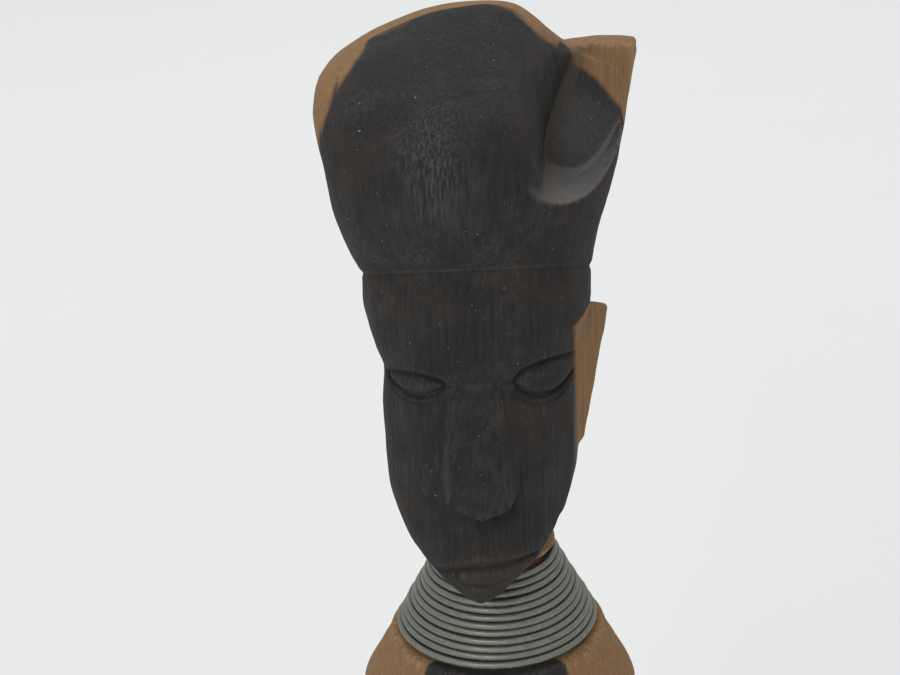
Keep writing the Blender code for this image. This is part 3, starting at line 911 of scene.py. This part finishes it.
def scuffs_and_sheen(n):
    """Short pale streaks: thin scuffs over all the heartwood, and thick on the dome, where they
    make a painted highlight.
    """
    rubbed_and_lit = n.between(n.noise(n.in_mm(), 0.11, 3.0, 0.6), 0.50, 0.66, 0.0, 0.3)
    # The stored patch adds the painted highlight on the dome
    rubbed_and_lit = n.math("ADD", rubbed_and_lit, n.attribute("dome_highlight"), True)
    streaks = n.between(n.noise(n.in_mm(PORE_STRETCH), 2.6, 4.0, 0.7), 0.40, 0.68)
    return n.math("MULTIPLY", rubbed_and_lit, streaks)


def heartwood(n, rings, fibres, pores):
    """Near-black wood with soot, ruddy patches, pale scuffs, a painted highlight on the dome and a
    little lint.
    """
    even = n.in_mm()
    color = n.blend(fibres, HEART_DEEP, HEART_FIBRE)
    sooty = n.between(n.noise(even, 0.16, 4.0, 0.65), 0.42, 0.62, 0.0, 0.55)
    color = n.blend(sooty, color, HEART_SOOT)
    ruddy = n.between(n.noise(even, 0.055, 3.0, 0.55, 0.6), 0.50, 0.66, 0.0, 0.6)
    color = n.blend(ruddy, color, HEART_RUDDY)
    color = n.tint(rings, 0.35, color, HEART_RING)
    color = n.tint(pores, 0.3, color, HEART_PORE)
    # Pale scuffs, and the painted highlight on the dome
    color = n.tint(scuffs_and_sheen(n), 0.42, color, SCUFF_AND_SHEEN_GREY)
    lint = n.between(n.noise(even, 2.3, 1.0, 0.4), 0.785, 0.80)
    return n.tint(lint, 0.8, color, LINT_GREY)


def sapwood(n, rings, fibres, pores):
    """Tan wood with darker rings and pores."""
    color = n.blend(fibres, SAP_DEEP, SAP_FIBRE)
    color = n.tint(rings, 0.3, color, SAP_RING)
    return n.tint(pores, 0.45, color, SAP_PORE)


def dust_sheen_and_wear(n, color, heart, fibres):
    """Dust in the hollows, a painted highlight on the ledge, the notch's crease, and edges worn
    paler.
    """
    even = n.in_mm()
    hollow = n.attribute("hollow")
    grit = n.between(n.noise(even, 5.0, 2.0, 0.6), 0.35, 0.65)
    dust = n.math("MULTIPLY", n.between(hollow, 0.05, 0.22), grit)
    color = n.tint(dust, 0.34, color, DUST_BROWN)
    specks = n.between(n.noise(even, 2.6, 2.0, 0.5), 0.15, 0.85, 0.5, 1.0)
    # Speckled painted highlight on the notch's ledge
    painted_shelf_light = n.math("MULTIPLY", n.attribute("ledge_sheen"), specks)
    color = n.tint(painted_shelf_light, 0.6, color, SHELF_SHEEN_GREY)
    color = n.tint(n.attribute("crease"), 0.6, color, CREASE_BROWN)
    worn = n.math("MULTIPLY", n.between(hollow, -0.06, -0.28), n.between(fibres, 0.35, 0.7))
    return n.tint(worn, 0.3, color, n.blend(heart, WORN_SAP, WORN_HEART))


def wood_material():
    """Dark heartwood and tan sapwood of one block, with rings, fibres, dust and wear, and painted
    highlights on the dome and the ledge.
    """
    n = Nodes("carved_wood")
    rings, fibres, pores = wood_grain(n)
    edge_noise = n.noise(n.in_mm(FIBRE_STRETCH), 0.22, 3.0)
    heart = n.between(n.math("ADD", n.attribute("heart"), edge_noise), *HEART_EDGE)
    color = n.blend(heart, sapwood(n, rings, fibres, pores), heartwood(n, rings, fibres, pores))
    color = dust_sheen_and_wear(n, color, heart, fibres)
    relief = n.math("ADD", n.math("MULTIPLY", fibres, 0.6), n.math("MULTIPLY", rings, 0.15))
    relief = n.math("SUBTRACT", relief, n.math("MULTIPLY", pores, 0.35))
    n.shader.inputs["Specular IOR Level"].default_value = 0.35
    return n.finish(color, WOOD_ROUGHNESS, relief, 0.35, 0.00025)


def wire_material():
    """Dull galvanised wire: spangled zinc with painted shade between the turns."""
    n = Nodes("galvanised_wire")
    even = n.in_mm()
    spangle = n.noise(even, 0.9, 3.0, 0.6)
    flecks = n.between(n.noise(even, 2.4, 2.0, 0.5), 0.58, 0.72)
    zinc = n.tint(flecks, 0.5, n.blend(spangle, ZINC_DULL, ZINC_BRIGHT), ZINC_FLECK)
    open_side = n.between(n.attribute("facing"), 0.05, 0.75)
    # Painted shade where the wire faces the next turns and the neck, with less metallic there
    color = n.blend(open_side, WIRE_GAP_SHADE, zinc)
    n.feed(n.shader.inputs["Metallic"], n.between(open_side, 0.0, 1.0, 0.25, 0.7))
    roughness = n.between(spangle, 0.3, 0.7, 0.38, 0.58)
    relief = n.math("ADD", spangle, n.math("MULTIPLY", flecks, 0.4))
    return n.finish(color, roughness, relief, 0.25, 0.00012)


def floor_material():
    """Plain matt white."""
    n = Nodes("pale_floor")
    mottle = n.noise(n.in_metres(), 3.0, 2.0)
    color = n.blend(mottle, rgb(0.80, 0.805, 0.80), rgb(0.83, 0.835, 0.83))
    return n.finish(color, 0.9, mottle, 0.02, 0.0005)


# ---------------------------------------------------------------- stage
LENS = 75
SENSOR = 36
VIEW_TURN = math.radians(6)
VIEW_DROP = math.radians(19)
VIEW_ROLL = math.radians(2)
VIEW_PLACE = Vector((0.02204, -0.26818, 0.35618))
FLOOR_SIZE = 14
WORLD_COLOR = (0.5, 0.51, 0.52, 1)
WORLD_STRENGTH = 0.95
# Each light: place, target, size, power
OVERHEAD = ((-0.2, 1.5, 2.6), (0, 1.5, 0), (4.0, 4.0), 60)
FRONT_LEFT = ((-0.35, -1.35, 0.95), (0, 0, 0.28), (0.4, 0.4), 7.0)


def make_camera():
    """Aim the camera down at the head from the front, a little to the right."""
    back = Vector((math.sin(VIEW_TURN) * math.cos(VIEW_DROP),
                   -math.cos(VIEW_TURN) * math.cos(VIEW_DROP), math.sin(VIEW_DROP)))
    level = Vector((math.cos(VIEW_TURN), math.sin(VIEW_TURN), 0))
    upright = back.cross(level)
    right = level * math.cos(VIEW_ROLL) - upright * math.sin(VIEW_ROLL)
    up = upright * math.cos(VIEW_ROLL) + level * math.sin(VIEW_ROLL)
    camera = bpy.data.objects.new("camera", bpy.data.cameras.new("camera"))
    bpy.context.scene.collection.objects.link(camera)
    camera.data.lens = LENS
    camera.data.sensor_width = SENSOR
    camera.data.clip_start = 0.01
    camera.matrix_world = (Matrix.Translation(VIEW_PLACE)
                           @ Matrix((right, up, back)).transposed().to_4x4())
    bpy.context.scene.camera = camera


def area_light(name, place, target, size, power):
    """Add a soft light aimed at a point."""
    data = bpy.data.lights.new(name, "AREA")
    data.shape = "RECTANGLE"
    data.size, data.size_y = size
    data.energy = power
    light = bpy.data.objects.new(name, data)
    light.location = place
    aim = Vector(target) - Vector(place)
    light.rotation_euler = aim.to_track_quat("-Z", "Y").to_euler()
    bpy.context.scene.collection.objects.link(light)


def make_stage():
    """Pale floor, soft light from above and a weaker one from the front left."""
    bpy.ops.mesh.primitive_grid_add(x_subdivisions=4, y_subdivisions=4, size=FLOOR_SIZE,
                                    location=(0, 0, 0))
    floor = bpy.context.object
    floor.name = "pale_floor"
    floor.data.materials.append(floor_material())
    area_light("overhead", *OVERHEAD)
    area_light("front_left", *FRONT_LEFT)
    world = bpy.data.worlds.new("studio")
    world.use_nodes = True
    world.node_tree.nodes["Background"].inputs["Color"].default_value = WORLD_COLOR
    world.node_tree.nodes["Background"].inputs["Strength"].default_value = WORLD_STRENGTH
    bpy.context.scene.world = world
    bpy.context.scene.view_settings.view_transform = "Standard"


def main():
    """Build the looks."""
    make_camera()
    make_stage()
    figure = make_figure()
    figure.data.materials.append(wood_material())
    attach(figure, "figure")
    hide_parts("carved_figure")
    coil = make_coil()
    coil.data.materials.append(wire_material())
    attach(coil, "coil")
    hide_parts("neck_coil")


main()
